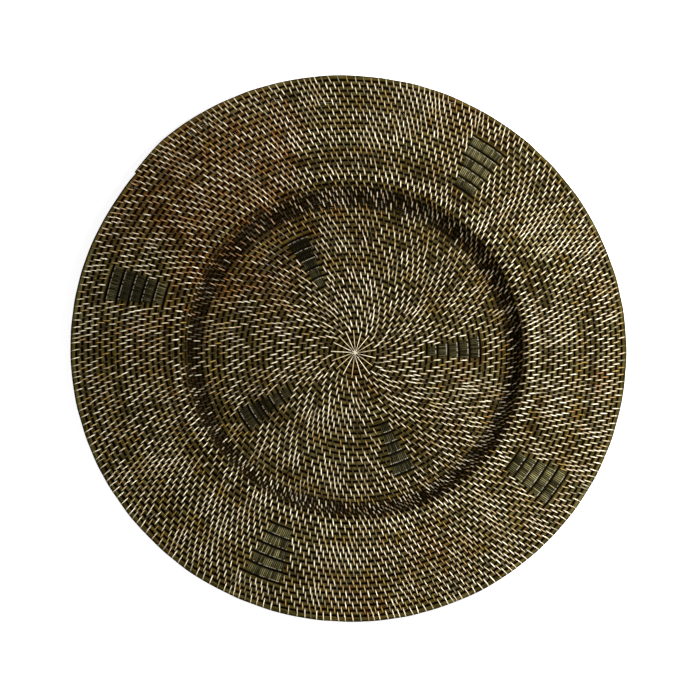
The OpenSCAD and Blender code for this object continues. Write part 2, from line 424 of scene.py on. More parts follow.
class Tree(NodeWork):
    """A Geometry Nodes tree with named inputs for its sizes."""

    def __init__(self, name: str) -> None:
        """Starts an empty tree that takes a mesh in and gives a mesh out.

        Args:
            name: Name of the tree.
        """
        super().__init__(bpy.data.node_groups.new(name, "GeometryNodeTree"))
        self.group.is_modifier = True
        for way in ("INPUT", "OUTPUT"):
            self.group.interface.new_socket("Geometry", in_out=way, socket_type="NodeSocketGeometry")
        self.ids: dict[str, str] = {}
        self.entry = self.group.nodes.new("NodeGroupInput")
        self.exit = self.group.nodes.new("NodeGroupOutput")

    def size(self, name: str, kind: str = "Float") -> Socket:
        """Adds a named input.

        Args:
            name: Its name.
            kind: Its kind of socket.

        Returns:
            Its socket inside the tree.
        """
        made = self.group.interface.new_socket(name, in_out="INPUT", socket_type="NodeSocket" + kind)
        self.ids[name] = made.identifier
        return self.entry.outputs[name]

    def named(self, name: str, kind: str = "FLOAT") -> Socket:
        """Reads an attribute."""
        node = self.add("GeometryNodeInputNamedAttribute", {"Name": name}, data_type=kind)
        return node.outputs["Attribute"]

    def stored(self, shape: Socket, name: str, value: Socket, kind: str = "FLOAT") -> Socket:
        """Writes an attribute on the points.

        Args:
            shape: The geometry.
            name: Name of the attribute, by which the material reads it.
            value: Its value at each point.
            kind: Its kind of value.

        Returns:
            The geometry's new socket.
        """
        inputs = {"Geometry": shape, "Name": name, "Value": value}
        node = self.add("GeometryNodeStoreNamedAttribute", inputs, data_type=kind, domain="POINT")
        return node.outputs[0]

    def ring(self, corners: Socket, radius: Value) -> Socket:
        """Draws a closed ring."""
        inputs = {"Resolution": corners, "Radius": radius}
        return self.add("GeometryNodeCurvePrimitiveCircle", inputs).outputs["Curve"]

    def place(self) -> Socket:
        """Gives each point's place."""
        return self.add("GeometryNodeInputPosition", {}).outputs[0]

    def moved(self, shape: Socket, offset: Socket) -> Socket:
        """Moves each point."""
        return self.add("GeometryNodeSetPosition", {"Geometry": shape, "Offset": offset}).outputs[0]

    def set_by(self, shape: Socket, change: str, amount: Any) -> Socket:
        """Turns or scales the whole shape."""
        return self.add("GeometryNodeTransform", {"Geometry": shape, change: amount}).outputs[0]

    def pressed_flat(self, shape: Socket, height: Socket, share: Socket) -> Socket:
        """Squeezes what lies under a height, as wear does to the side that the plate rests on.

        Args:
            shape: The geometry.
            height: The height above which nothing changes.
            share: What is left of the depth under it.

        Returns:
            The geometry's new socket.
        """
        below = self.maths("MINIMUM", self.maths("SUBTRACT", self.axes(self.place())["Z"], height), 0.0)
        lift = self.times(below, self.maths("SUBTRACT", 1.0, share))
        return self.moved(shape, self.vector(Z=self.times(lift, -1.0)))

    def finish(self, shape: Socket, material: Socket) -> None:
        """Smooths and dresses the shape and gives it out.

        Args:
            shape: The geometry.
            material: Its material.
        """
        smooth = self.add("GeometryNodeSetShadeSmooth", {"Geometry": shape}).outputs[0]
        whole = self.add("GeometryNodeRealizeInstances", {"Geometry": smooth}).outputs[0]
        dressed = self.add("GeometryNodeSetMaterial", {"Geometry": whole, "Material": material})
        self.group.links.new(dressed.outputs[0], self.exit.inputs["Geometry"])

    def build(self, name: str, start: bpy.types.Mesh, values: dict[str, Any]) -> bpy.types.Object:
        """Runs the tree on a mesh and keeps the result as a plain mesh.

        Args:
            name: Name of the new piece.
            start: Points or lines with the attributes that the tree reads.
            values: A value for each named input.

        Returns:
            The finished piece, at the origin.
        """
        piece = bpy.data.objects.new(name, start)
        bpy.context.scene.collection.objects.link(piece)
        steps = piece.modifiers.new("build", "NODES")
        steps.node_group = self.group
        for key, value in values.items():
            steps[self.ids[key]] = value
        piece.update_tag()
        deps = bpy.context.evaluated_depsgraph_get()
        result = bpy.data.meshes.new_from_object(
            piece.evaluated_get(deps), preserve_all_data_layers=True, depsgraph=deps
        )
        piece.modifiers.remove(steps)
        piece.data = result
        result.name = name
        bpy.data.meshes.remove(start)
        return piece


def seed_mesh(name: str, points: np.ndarray, linked: bool, values: dict[str, np.ndarray]) -> bpy.types.Mesh:
    """Makes a mesh of points, or of one line through them, with attributes.

    Args:
        name: Name of the mesh.
        points: The points, in metres.
        linked: True to join each point to the next.
        values: Attributes by name: one number, or three, for each point.

    Returns:
        The mesh.
    """
    edges = [(i, i + 1) for i in range(len(points) - 1)] if linked else []
    mesh = bpy.data.meshes.new(name + "_seed")
    mesh.from_pydata(points.tolist(), edges, [])
    for key, value in values.items():
        kind, field_name = (VECTOR, "vector") if value.ndim == 2 else ("FLOAT", "value")
        data = mesh.attributes.new(key, kind, "POINT").data
        data.foreach_set(field_name, value.astype(np.float32).ravel())
    return mesh


def cane_tree() -> Tree:
    """Makes the tree that turns a line into round cane with closed ends.

    Returns:
        The tree.
    """
    tree = Tree("round_cane")
    radius = tree.size("Cane radius")
    sides = tree.size("Sides", "Int")
    height = tree.size("Wear height")
    share = tree.size("Wear share")
    material = tree.size("Finish", "Material")
    rail = tree.add("GeometryNodeMeshToCurve", {"Mesh": tree.entry.outputs["Geometry"]}).outputs[0]
    round_at = tree.add("GeometryNodeSplineParameter", {}).outputs["Factor"]
    ring = tree.stored(tree.ring(sides, radius), "around", round_at)
    tube = tree.add(
        "GeometryNodeCurveToMesh",
        {"Curve": rail, "Profile Curve": ring, "Scale": tree.named("slim"), "Fill Caps": True},
    ).outputs[0]
    facing = tree.add("GeometryNodeInputNormal", {}).outputs["Normal"]
    # How far the surface faces off the woven face; the finish paints shade into the grooves with it
    off_groove = tree.maths("ABSOLUTE", tree.measure("DOT_PRODUCT", facing, tree.named("upward", VECTOR)))
    crowned = tree.stored(tube, "crown", off_groove)
    # Widened until it meets the rows beside it, so the section is a little oval
    outward = tree.named("outward", VECTOR)
    reach = tree.times(tree.measure("DOT_PRODUCT", facing, outward), tree.named("widen"))
    oval = tree.moved(crowned, tree.vectors("SCALE", outward, reach))
    tree.finish(tree.pressed_flat(oval, height, share), material)
    return tree


def loop_tree() -> Tree:
    """Makes the tree that puts a closed loop of split cane on each point, round two rows.

    Returns:
        The tree.
    """
    tree = Tree("strip_loop")
    distance = tree.size("Row distance")
    radius = tree.size("Loop radius")
    width = tree.size("Strip width")
    thickness = tree.size("Strip thickness")
    corners = tree.size("Corners", "Int")
    sides = tree.size("Sides", "Int")
    height = tree.size("Wear height")
    share = tree.size("Wear share")
    material = tree.size("Finish", "Material")
    # The loop's own line: a ring with an even count of corners, turned by half a corner and
    # pulled apart where it crosses the middle
    half_corner = tree.vector(Z=tree.maths("DIVIDE", math.pi, corners))
    turned = tree.set_by(tree.ring(corners, radius), "Rotation", half_corner)
    pull = tree.times(tree.maths("SIGN", tree.axes(tree.place())["X"]), distance)
    stadium = tree.moved(turned, tree.vector(X=tree.times(pull, 0.5)))
    # The strip's section: flat with a crowned outer face
    scale = tree.vector(X=tree.times(thickness, 0.5), Y=tree.times(width, 0.5), Z=1.0)
    flat = tree.set_by(tree.ring(sides, 1.0), "Scale", scale)
    sweep = tree.add("GeometryNodeCurveToMesh", {"Curve": stadium, "Profile Curve": flat}).outputs[0]
    upright = tree.set_by(sweep, "Rotation", (math.pi / 2, 0.0, 0.0))
    named = tree.stored(upright, "strip_at", tree.place(), VECTOR)
    facing = tree.add(
        "FunctionNodeAxesToRotation",
        {"Primary Axis": tree.named("upward", VECTOR), "Secondary Axis": tree.named("across", VECTOR)},
        primary_axis="Z",
        secondary_axis="X",
    ).outputs[0]
    points = tree.entry.outputs["Geometry"]
    loops = tree.add(
        "GeometryNodeInstanceOnPoints",
        {"Points": points, "Instance": named, "Rotation": facing, "Scale": tree.named("size", VECTOR)},
    ).outputs[0]
    # Pressed only after the loops are real, each at its own place on the plate
    whole = tree.add("GeometryNodeRealizeInstances", {"Geometry": loops}).outputs[0]
    tree.finish(tree.pressed_flat(whole, height, share), material)
    return tree


def linear(red: int, green: int, blue: int) -> Colour:
    """Turns a display colour into a linear one, by the standard curve.

    Args:
        red: 0 to 255.
        green: 0 to 255.
        blue: 0 to 255.

    Returns:
        The linear colour, 0 to 1.
    """
    full, low_end, low_slope, offset, power = 255, 0.04045, 12.92, 0.055, 2.4
    shares = [value / full for value in (red, green, blue)]
    bright = [((share + offset) / (1 + offset)) ** power for share in shares]
    r, g, b = (s / low_slope if s <= low_end else t for s, t in zip(shares, bright))
    return (r, g, b)


class ShaderGroup(NodeWork):
    """A shader effect that several finishes share."""

    def __init__(self, name: str, inputs: dict[str, float], outputs: Iterable[str]) -> None:
        """Starts the group with named numbers in and out.

        Args:
            name: Name of the effect.
            inputs: Start value for each input.
            outputs: Names of the outputs.
        """
        super().__init__(bpy.data.node_groups.new(name, "ShaderNodeTree"))
        face = self.group.interface
        for key, value in inputs.items():
            made = face.new_socket(key, in_out="INPUT", socket_type="NodeSocketFloat")
            made.default_value = value
        for key in outputs:
            face.new_socket(key, in_out="OUTPUT", socket_type="NodeSocketFloat")
        self.entry = self.group.nodes.new("NodeGroupInput")
        self.exit = self.group.nodes.new("NodeGroupOutput")

    def noise(self, place: Socket, scale: Value, detail: float, roughness: float = 0.5) -> Socket:
        """Gives a smooth noise."""
        inputs = {"Vector": place, "Scale": scale, "Detail": detail, "Roughness": roughness}
        return self.add("ShaderNodeTexNoise", inputs).outputs[0]

    def give(self, name: str, socket: Socket) -> None:
        """Links a socket to a named output."""
        self.group.links.new(socket, self.exit.inputs[name])


@dataclass(frozen=True)
class Fibre:
    """The streaks that run along cane and split cane."""

    streak_length: float = 0.012
    streak_width: float = 0.0003
    streak_detail: float = 3.0
    streak_range: Pair = (0.3, 0.7)
    blotch_shape: Triple = (0.9, 0.12, 1.0)
    blotch_detail: float = 1.0
    blotch_range: Pair = (0.32, 0.68)

    def make(self) -> ShaderGroup:
        """Builds the effect.

        Returns:
            The group, with Streak and Blotch masks.
        """
        start = {"Along": 0.0, "Across": 0.0, "Seed": 0.0}
        start |= {"Streak length": self.streak_length, "Streak width": self.streak_width}
        effect = ShaderGroup("fibre_streaks", start, ("Streak", "Blotch"))
        src = effect.entry.outputs
        along = effect.maths("DIVIDE", src["Along"], src["Streak length"])
        across = effect.maths("DIVIDE", src["Across"], src["Streak width"])
        place = effect.vector(X=along, Y=across, Z=src["Seed"])
        fine = effect.noise(place, 1.0, self.streak_detail)
        effect.give("Streak", effect.ranged(fine, self.streak_range))
        wide = effect.vectors("MULTIPLY", place, self.blotch_shape)
        slow = effect.noise(wide, 1.0, self.blotch_detail)
        effect.give("Blotch", effect.ranged(slow, self.blotch_range))
        return effect


@dataclass(frozen=True)
class PaintedShadePatch:
    """A stretch of rows that is painted darker, as painted shade.

    The direction and the span are in degrees, the radius and the depth in metres.
    """

    direction: float
    radius: float
    depth: float
    span: float
    strength: float


PAINTED_SHADE_PATCHES = (
    PaintedShadePatch(direction=0.0, radius=0.1393, depth=0.0055, span=22.0, strength=0.6),
    PaintedShadePatch(direction=82.0, radius=0.114, depth=0.010, span=52.0, strength=0.45),
    PaintedShadePatch(direction=165.0, radius=0.154, depth=0.010, span=48.0, strength=0.4),
    PaintedShadePatch(direction=165.0, radius=0.108, depth=0.007, span=45.0, strength=0.4),
    PaintedShadePatch(direction=165.0, radius=0.135, depth=0.026, span=40.0, strength=0.38),
    PaintedShadePatch(direction=211.0, radius=0.062, depth=0.012, span=26.0, strength=0.6),
    PaintedShadePatch(direction=205.0, radius=0.1100, depth=0.0045, span=60.0, strength=0.6),
    PaintedShadePatch(direction=0.0, radius=0.113, depth=0.010, span=45.0, strength=0.4),
    PaintedShadePatch(direction=0.0, radius=0.006, depth=0.008, span=180.0, strength=0.95),
    PaintedShadePatch(direction=180.0, radius=0.006, depth=0.008, span=180.0, strength=0.95),
    PaintedShadePatch(direction=145.0, radius=0.071, depth=0.024, span=105.0, strength=0.5),
    PaintedShadePatch(direction=165.0, radius=0.094, depth=0.011, span=75.0, strength=0.85),
)


@dataclass(frozen=True)
class PatinaAndShade:
    """The uneven staining over the whole plate, and the painted shade of its recess and its dark patches,
    as masks from 0 to 1.

    Lengths are in metres. A reach says where a mask starts to fade and where it has faded out.
    """

    patch_size: float = 0.05
    cloud_detail: float = 2.0
    brown_roughness: float = 0.6
    brown_range: Pair = (0.58, 0.86)
    warm_at: Triple = (-0.078, 0.088, 0.0)
    warm_reach: Pair = (0.02, 0.085)
    warmth: float = 0.42
    grey_shift: Triple = (0.31, 0.17, 0.0)
    grey_range: Pair = (0.45, 0.7)
    recess_inward: float = 0.0008
    recess_reach: Pair = (0.0034, 0.0066)
    crest_outward: float = 0.0014
    crest_reach: Pair = (0.001, 0.003)
    middle_reach: Pair = (0.001, 0.007)
    knot_reach: Pair = (0.0010, 0.0020)
    edge_fade: float = 0.0006
    well_shade: float = 0.3
    well_fade: float = 0.002
    full_depth_share: float = 0.25
    full_span_share: float = 0.5

    def make(self, coil: Coil) -> ShaderGroup:
        """Builds the effect.

        Args:
            coil: The coil, whose sizes say where the wall is.

        Returns:
            The group, with Brown, Grey, Recess, Crest, Middle, Shade and Edge masks.
        """
        masks = ("Brown", "Grey", "Recess", "Crest", "Middle", "Shade", "Edge")
        effect = ShaderGroup("patina_and_shade", {"Patch size": self.patch_size}, masks)
        place = effect.add("ShaderNodeTexCoord", {}).outputs["Object"]
        self._clouds(effect, place)
        centre = (coil.star[0] * MM, coil.star[1] * MM, 0.0)
        level = effect.vectors("MULTIPLY", place, (1.0, 1.0, 0.0))
        radius = effect.measure("DISTANCE", level, centre)
        self._rings(effect, coil, level, radius)
        out = effect.vectors("SUBTRACT", level, centre)
        self._patches(effect, coil, effect.vectors("NORMALIZE", out), radius)
        return effect

    def _clouds(self, effect: ShaderGroup, place: Socket) -> None:
        """Makes the masks of the brown and the grey patches.

        Args:
            effect: The group.
            place: Place on the plate.
        """
        rate = effect.maths("DIVIDE", 1.0, effect.entry.outputs["Patch size"])
        cloud = effect.noise(place, rate, self.cloud_detail, self.brown_roughness)
        # The warmest patch lies on the upper left of the rim
        away = effect.measure("DISTANCE", place, self.warm_at)
        near = effect.ranged(away, self.warm_reach, (self.warmth, 0.0))
        effect.give("Brown", effect.ranged(effect.maths("ADD", cloud, near), self.brown_range))
        shifted = effect.vectors("ADD", place, self.grey_shift)
        effect.give("Grey", effect.ranged(effect.noise(shifted, rate, self.cloud_detail), self.grey_range))

    def _rings(self, effect: ShaderGroup, coil: Coil, level: Socket, radius: Socket) -> None:
        """Makes the masks that go round the middle: the painted shade of the recess, the lip, the knot and
        the edge.

        Args:
            effect: The group.
            coil: The coil.
            level: Place on the plate with no height.
            radius: Distance from the middle of the coil.
        """
        # Painted shade in the recess of the wall
        recess_r = coil.wall_r * MM - self.recess_inward
        effect.give("Recess", self._ring(effect, radius, recess_r, self.recess_reach))
        # Strips along the lip are made paler, and less darkened, than anywhere else
        lip_r = coil.lip_d / 2 * MM + self.crest_outward
        effect.give("Crest", self._ring(effect, radius, lip_r, self.crest_reach))
        middle = effect.ranged(radius, self.middle_reach, (1.0, 0.0))
        effect.give("Middle", effect.times(middle, effect.ranged(radius, self.knot_reach)))
        # Nothing shades the outer side of the last row, so the painted shade of the grooves and of the
        # strips' ends fades out there
        last_r = (coil.plate_d / 2 - coil.core_d) * MM
        from_middle = effect.measure("LENGTH", level)
        fade = (last_r - self.edge_fade, last_r + self.edge_fade)
        effect.give("Edge", effect.ranged(from_middle, fade))

    def _patches(self, effect: ShaderGroup, coil: Coil, aim: Socket, radius: Socket) -> None:
        """Makes the mask of painted shade: some over the whole well, and more in the listed patches.

        Args:
            effect: The group.
            coil: The coil.
            aim: Direction from the middle of the coil, one long.
            radius: Distance from the middle of the coil.
        """
        wall_r = coil.wall_r * MM
        fade = (wall_r - self.well_fade, wall_r + self.well_fade)
        shade = effect.ranged(radius, fade, (self.well_shade, 0.0))
        for patch in PAINTED_SHADE_PATCHES:
            reach = (patch.depth * self.full_depth_share, patch.depth)
            deep = self._ring(effect, radius, patch.radius, reach, patch.strength)
            turn = math.radians(patch.direction)
            towards = effect.measure("DOT_PRODUCT", aim, (math.cos(turn), math.sin(turn), 0.0))
            span = math.radians(patch.span)
            ends = (math.cos(span), math.cos(span * self.full_span_share))
            wide = effect.ranged(towards, ends)
            shade = effect.maths("MAXIMUM", shade, effect.times(deep, wide))
        effect.give("Shade", shade)

    def _ring(
        self, effect: ShaderGroup, radius: Socket, at: float, reach: Pair, strength: float = 1.0
    ) -> Socket:
        """Gives a mask that is strongest on a ring round the middle.

        Args:
            effect: The group.
            radius: Distance from the middle of the coil.
            at: Radius of the ring.
            reach: Where the mask starts to fade and where it ends, from the ring.
            strength: Its value on the ring.

        Returns:
            The mask.
        """
        off = effect.maths("ABSOLUTE", effect.maths("SUBTRACT", radius, at))
        return effect.ranged(off, reach, (strength, 0.0))


class FinishKit:
    """The effects that the finishes share."""

    def __init__(self, coil: Coil) -> None:
        """Makes the effects once for all finishes."""
        self.fibre = Fibre().make()
        self.patina_and_shade = PatinaAndShade().make(coil)


class Dressing(NodeWork):
    """A material under way, with its nodes and its main shader."""

    def __init__(self, name: str) -> None:
        """Starts the material.

        Args:
            name: Its name.
        """
        self.material = bpy.data.materials.new(name)
        self.material.use_nodes = True
        super().__init__(self.material.node_tree)
        self.shader = self.group.nodes["Principled BSDF"]

    def attribute(self, name: str, output: str = "Fac") -> Socket:
        """Reads an attribute that the piece carries."""
        return self.add("ShaderNodeAttribute", {}, attribute_name=name).outputs[output]

    def use(self, effect: ShaderGroup, inputs: dict[str | int, Value]) -> Any:
        """Places a shared effect with this material's values and gives its outputs."""
        return self.add("ShaderNodeGroup", inputs, node_tree=effect.group).outputs

    def blend(self, share: Value, first: Any, second: Any, mode: str = "MIX") -> Socket:
        """Mixes two colours.

        Args:
            share: How much of the second one.
            first: Socket or linear colour.
            second: Socket or linear colour.
            mode: Blend mode.

        Returns:
            The mixed colour's socket.
        """
        node = self.add("ShaderNodeMix", {}, data_type="RGBA", blend_type=mode)
        sockets = {socket.identifier: socket for socket in (*node.inputs, *node.outputs)}
        self.feed(sockets["Factor_Float"], share)
        for key, value in {"A_Color": first, "B_Color": second}.items():
            self.feed(sockets[key], (*value, 1.0) if isinstance(value, tuple) else value)
        return sockets["Result_Color"]

    def close(
        self, colour: Socket, roughness: Socket, specular: float, relief: Socket, depth: float
    ) -> bpy.types.Material:
        """Links what has been worked out to the shader.

        Args:
            colour: The colour.
            roughness: The roughness.
            specular: Strength of the sheen.
            relief: Height of the fibres, 0 to 1.
            depth: Depth of the relief, in metres.

        Returns:
            The material.
        """
        inputs = {"Strength": RELIEF_STRENGTH, "Distance": depth, "Height": relief}
        bump = self.add("ShaderNodeBump", inputs).outputs[0]
        links = {"Base Color": colour, "Roughness": roughness, "Normal": bump}
        for key, value in {**links, "Specular IOR Level": specular}.items():
            self.feed(self.shader.inputs[key], value)
        return self.material


@dataclass(frozen=True)
class CaneFinish:
    """Round core cane, stained dark and left without a sheen."""

    name: str = "stained_core"
    deep: Colour = linear(18, 10, 0)
    light: Colour = linear(88, 78, 35)
    brown: Colour = linear(84, 49, 14)
    brown_share: float = 0.7
    grey: Colour = linear(90, 84, 48)
    grey_share: float = 0.6
    patch_size: float = 0.045
    blotch_shades: Pair = (0.72, 1.15)
    shaded: float = 0.5
    recess_colour: Colour = linear(15, 10, 2)
    recess: float = 0.9
    groove: Colour = linear(8, 2, 0)
    groove_crowns: Pair = (0.93, 0.60)
    groove_at_edge: float = 0.3
    roughness: Pair = (0.42, 0.6)
    specular: float = 0.0
    streak_length: float = 0.014
    streak_width: float = 0.12
    bump: float = 0.00006

    def make(self, kit: FinishKit) -> bpy.types.Material:
        """Builds the material.

        Args:
            kit: The shared effects.

        Returns:
            The material.
        """
        dress = Dressing(self.name)
        place = {"Along": dress.attribute("run"), "Across": dress.attribute("around")}
        grain = {"Streak length": self.streak_length, "Streak width": self.streak_width}
        fibre = dress.use(kit.fibre, place | grain)
        patina_and_shade = dress.use(kit.patina_and_shade, {"Patch size": self.patch_size})
        mixed = dress.blend(fibre["Streak"], self.deep, self.light)
        mixed = dress.blend(dress.times(patina_and_shade["Brown"], self.brown_share), mixed, self.brown)
        greyed = dress.times(dress.times(patina_and_shade["Grey"], fibre["Blotch"]), self.grey_share)
        mixed = dress.blend(greyed, mixed, self.grey)
        shade = dress.ranged(fibre["Blotch"], UNIT, self.blotch_shades)
        mixed = dress.blend(1.0, mixed, dress.vector(X=shade, Y=shade, Z=shade), "MULTIPLY")
        # Painted shade: darker over the well and in the listed patches
        mixed = dress.blend(dress.times(patina_and_shade["Shade"], self.shaded), mixed, self.deep)
        # Painted shade in the wall's recess
        mixed = dress.blend(dress.times(patina_and_shade["Recess"], self.recess), mixed, self.recess_colour)
        # Painted shade darkens the groove between two rows, and less of it on the plate's edge
        low = dress.ranged(dress.attribute("crown"), self.groove_crowns)
        inside = dress.ranged(patina_and_shade["Edge"], UNIT, (1.0, self.groove_at_edge))
        mixed = dress.blend(dress.times(low, inside), mixed, self.groove)
        rough = dress.ranged(fibre["Streak"], UNIT, self.roughness)
        return dress.close(mixed, rough, self.specular, fibre["Streak"], self.bump)


@dataclass(frozen=True)
class StripFinish:
    """Split cane, stained and then rubbed back to its pale skin on the crown, with painted shade on its
    edges and where it turns down or rounds over.

    Shares and ranges run from 0 to 1, lengths are in metres. Tone and hue are each strip's own
    chance, which the piece carries.
    """

    name: str
    pale: Colour
    tan: Colour
    rust: Colour
    grey: Colour
    stain_and_shade: Colour
    groove: Colour
    half_width: float = 0.0005
    half_height: float = 0.0015
    specular: float = 0.07
    patch_size: float = 0.05
    skin_tones: Pair = (0.28, 0.84)
    rust_hues: Pair = (0.92, 1.04)
    rust_share: float = 0.8
    brown_pull: float = 0.3
    grey_hues: Pair = (0.16, 0.06)
    grey_share: float = 0.9
    grey_pull: float = 0.1
    edge_shares: Pair = (0.36, 0.74)
    low_shares: Pair = (1.00, 0.84)
    recess_colour: Colour = linear(20, 13, 2)
    luck_hue_share: float = 0.65
    shade_tones: Pair = (0.16, 0.86)
    shade_fade: float = 0.10
    shade_share: float = 0.88
    recess_lucks: Pair = (0.30, 0.80)
    recess_shares: Pair = (1.0, 0.05)
    middle_share: float = 0.4
    crest: float = 0.22
    crest_stain_and_shade: float = 0.45
    streak_stains: Pair = (0.25, 0.0)
    streak_share: float = 0.6
    shade_depth: float = 0.35
    rounding: float = 0.9
    rounding_reach: Pair = (0.0013, 0.0023)
    shade_at_edge: float = 0.15
    shoulder: float = 0.0
    shoulder_at: float = 0.0022
    shoulder_reach: Pair = (0.000175, 0.000325)
    shoulder_hues: Pair = (0.30, 0.45)
    shoulder_colour: Colour = linear(206, 200, 176)
    roughness: Pair = (0.42, 0.30)
    stain_roughness: float = 0.9
    seed_step: float = 97.0
    streak_length: float = 0.004
    streak_width: float = 0.00016
    bump: float = 0.00004

    def make(self, kit: FinishKit) -> bpy.types.Material:
        """Builds the material.

        Args:
            kit: The shared effects.

        Returns:
            The material.
        """
        dress = Dressing(self.name)
        tone, hue = dress.attribute("tone"), dress.attribute("hue")
        at = dress.axes(dress.attribute("strip_at", "Vector"))
        place = {"Along": at["X"], "Across": at["Y"], "Seed": dress.times(hue, self.seed_step)}
        grain = {"Streak length": self.streak_length, "Streak width": self.streak_width}
        fibre = dress.use(kit.fibre, place | grain)
        patina_and_shade = dress.use(kit.patina_and_shade, {"Patch size": self.patch_size})
        skin = self._skin(dress, patina_and_shade, tone, hue)
        luck = dress.blend(self.luck_hue_share, tone, hue)
        stain_and_shade_share = self._stain_and_shade_share(dress, patina_and_shade, fibre["Streak"], luck)
        # Painted shade in the wall's recess, which darkens some strips more than others
        chance = dress.ranged(luck, self.recess_lucks, self.recess_shares)
        recess = dress.times(patina_and_shade["Recess"], chance)
        mixed = dress.blend(recess, dress.blend(stain_and_shade_share, skin, self.stain_and_shade), self.recess_colour)
        # Painted shade along the strip's two edges
        mixed = dress.blend(self._edge(dress, patina_and_shade, at["Y"]), mixed, self.groove)
        # Towards both ends of a stitch, or both sides of a wound bar, the strip is painted darker, as
        # painted shade where it rounds over
        inside = dress.ranged(patina_and_shade["Edge"], UNIT, (1.0, self.shade_at_edge))
        out = dress.maths("ABSOLUTE", at["X"])
        turned = dress.ranged(out, self.rounding_reach, (0.0, self.rounding))
        mixed = dress.blend(dress.times(turned, inside), mixed, self.stain_and_shade)
        mixed = dress.blend(self._shoulder(dress, at["X"], hue), mixed, self.shoulder_colour)
        # Where the strip turns down into the groove it is painted dark, as painted shade
        rise = dress.maths("ABSOLUTE", at["Z"])
        low = dress.times(dress.ranged(rise, self._shares_of(self.half_height, self.low_shares)), inside)
        mixed = dress.blend(low, mixed, self.groove)
        gloss = dress.ranged(fibre["Streak"], UNIT, self.roughness)
        dull = dress.maths("MAXIMUM", low, dress.maths("MAXIMUM", stain_and_shade_share, recess))
        rough = dress.maths("MAXIMUM", gloss, dress.times(dull, self.stain_roughness))
        return dress.close(mixed, rough, self.specular, fibre["Streak"], self.bump)

    def _shares_of(self, size: float, shares: Pair) -> Pair:
        """Gives two shares of a size."""
        return (size * shares[0], size * shares[1])

    def _skin(self, dress: Dressing, patina_and_shade: Any, tone: Socket, hue: Socket) -> Socket:
        """Gives each strip's own colour: most are cream to tan, some are rust or grey.

        Args:
            dress: The material.
            patina_and_shade: Outputs of the uneven staining and of the painted shade.
            tone: The strip's tone.
            hue: The strip's hue.

        Returns:
            The colour.
        """
        bare = dress.maths("ADD", tone, dress.times(patina_and_shade["Crest"], self.crest))
        skin = dress.blend(dress.ranged(bare, self.skin_tones), self.tan, self.pale)
        rusty = dress.maths("ADD", hue, dress.times(patina_and_shade["Brown"], self.brown_pull))
        skin = dress.blend(dress.ranged(rusty, self.rust_hues, (0.0, self.rust_share)), skin, self.rust)
        greyish = dress.maths("SUBTRACT", hue, dress.times(patina_and_shade["Grey"], self.grey_pull))
        return dress.blend(dress.ranged(greyish, self.grey_hues, (0.0, self.grey_share)), skin, self.grey)

    def _stain_and_shade_share(self, dress: Dressing, patina_and_shade: Any, streak: Socket, luck: Socket) -> Socket:
        """Gives how far a strip is darkened: by staining along its streaks, and by painted shade, where the
        darker a patch, the more of them are.

        Args:
            dress: The material.
            patina_and_shade: Outputs of the uneven staining and of the painted shade.
            streak: The fibre's streaks.
            luck: The strip's chance.

        Returns:
            The share of staining and painted shade.
        """
        streaked = dress.ranged(streak, self.streak_stains, (0.0, self.streak_share))
        # Painted shade: the darker a patch, the more strips are darkened
        shade_cutoff = dress.ranged(patina_and_shade["Shade"], UNIT, self.shade_tones)
        below = dress.maths("SUBTRACT", shade_cutoff, luck)
        shaded_stitch = dress.ranged(below, (-self.shade_fade, self.shade_fade), (0.0, self.shade_share))
        stain_and_shade_share = dress.maths("MAXIMUM", streaked, shaded_stitch)
        stain_and_shade_share = dress.maths("MAXIMUM", stain_and_shade_share, dress.times(patina_and_shade["Shade"], self.shade_depth))
        return dress.times(stain_and_shade_share, dress.ranged(patina_and_shade["Crest"], UNIT, (1.0, self.crest_stain_and_shade)))

    def _edge(self, dress: Dressing, patina_and_shade: Any, across: Socket) -> Socket:
        """Gives the mask of a strip's two edges, painted dark as the shade beside the strip, which close in
        where the rays crowd.

        Args:
            dress: The material.
            patina_and_shade: Outputs of the uneven staining and of the painted shade.
            across: Place across the strip.

        Returns:
            The mask.
        """
        crowded = dress.times(patina_and_shade["Middle"], self.half_width * self.middle_share)
        side = dress.maths("ADD", dress.maths("ABSOLUTE", across), crowded)
        return dress.ranged(side, self._shares_of(self.half_width, self.edge_shares))

    def _shoulder(self, dress: Dressing, along: Socket, hue: Socket) -> Socket:
        """Gives the mask of a thin pale line along a bar, where it turns down.

        Args:
            dress: The material.
            along: Place along the strip.
            hue: The strip's hue.

        Returns:
            The mask.
        """
        off = dress.maths("ABSOLUTE", dress.maths("SUBTRACT", along, self.shoulder_at))
        line = dress.ranged(off, self.shoulder_reach, (self.shoulder, 0.0))
        return dress.times(line, dress.ranged(hue, self.shoulder_hues))


PALE_STRIP = StripFinish(
    name="rubbed_strip",
    pale=linear(246, 233, 204),
    tan=linear(158, 128, 68),
    rust=linear(152, 104, 56),
    grey=linear(122, 116, 86),
    stain_and_shade=linear(44, 31, 7),
    groove=linear(12, 4, 0),
)
RAY_STRIP = replace(PALE_STRIP, name="ray_strip", rounding=0.0, shade_depth=0.0, shade_tones=(0.0, 0.0))
DARK_STRIP = StripFinish(
    name="stained_strip",
    pale=linear(142, 134, 88),
    tan=linear(42, 37, 13),
    rust=linear(76, 60, 28),
    grey=linear(82, 79, 48),
    stain_and_shade=linear(16, 13, 2),
    groove=linear(9, 6, 1),
    specular=0.08,
    shoulder=0.5,
    shade_depth=2.3,
    rounding=0.8,
    rounding_reach=(0.0010, 0.0030),
    shade_tones=(0.0, 0.1),
    edge_shares=(0.34, 0.86),
    low_shares=(0.98, 0.62),
)


